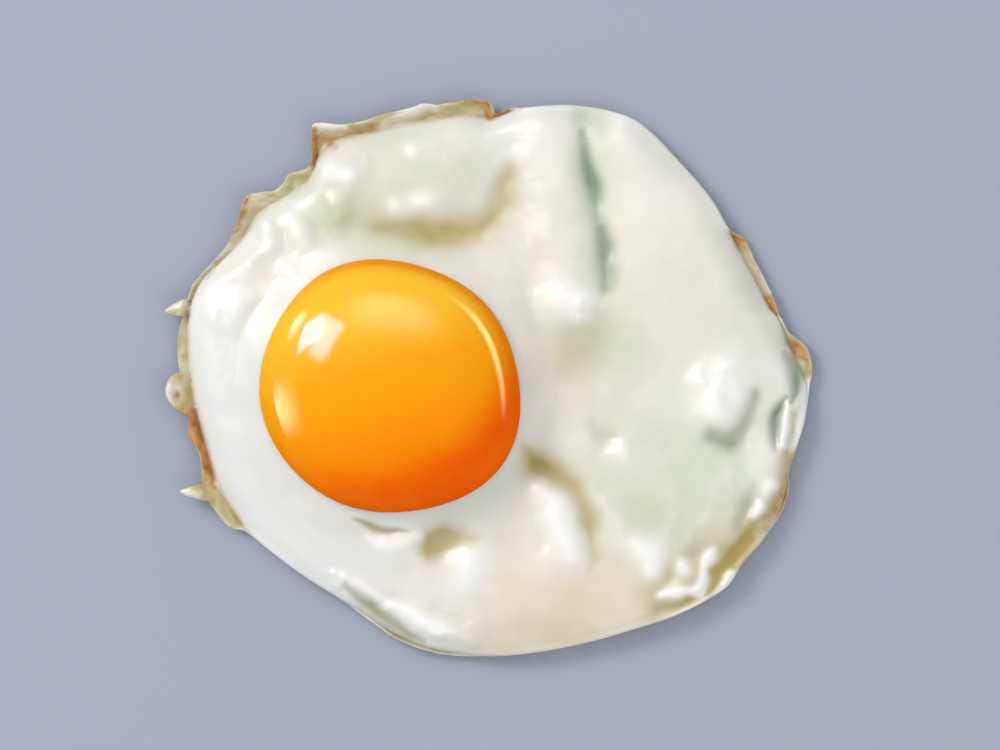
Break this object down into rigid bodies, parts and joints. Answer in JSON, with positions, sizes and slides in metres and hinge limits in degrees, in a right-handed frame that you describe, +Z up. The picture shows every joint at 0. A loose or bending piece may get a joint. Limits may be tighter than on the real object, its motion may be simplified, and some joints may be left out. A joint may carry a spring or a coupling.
{
  "type": "fried egg",
  "caption": "Fried egg, sunny side up: a broad irregular white with a thin crisp frilled rim and folded relief, and a raised whole yolk set off-centre. Lies flat on its underside.",
  "frame": {"origin": "middle of the footprint's bounding box, on the flat underside", "axes": "+X along the white's longest extent, from the yolk's side towards the broad side; +Z up through the yolk's dome"},
  "size_m": [0.104, 0.0894, 0.0184],
  "materials": {
    "egg_white": "moist set egg white, soft gloss over folds and small bubbles, slightly translucent where thin, olive-beige in the hollows and browned along the crisp rim",
    "egg_yolk": "whole soft yolk under a thin wet film, very glossy, bright yellow-orange on the side towards the light and deep orange low down"
  },
  "bodies": {
    "root": {"white": "egg_white", "yolk": "egg_yolk"}
  },
  "joints": []
}
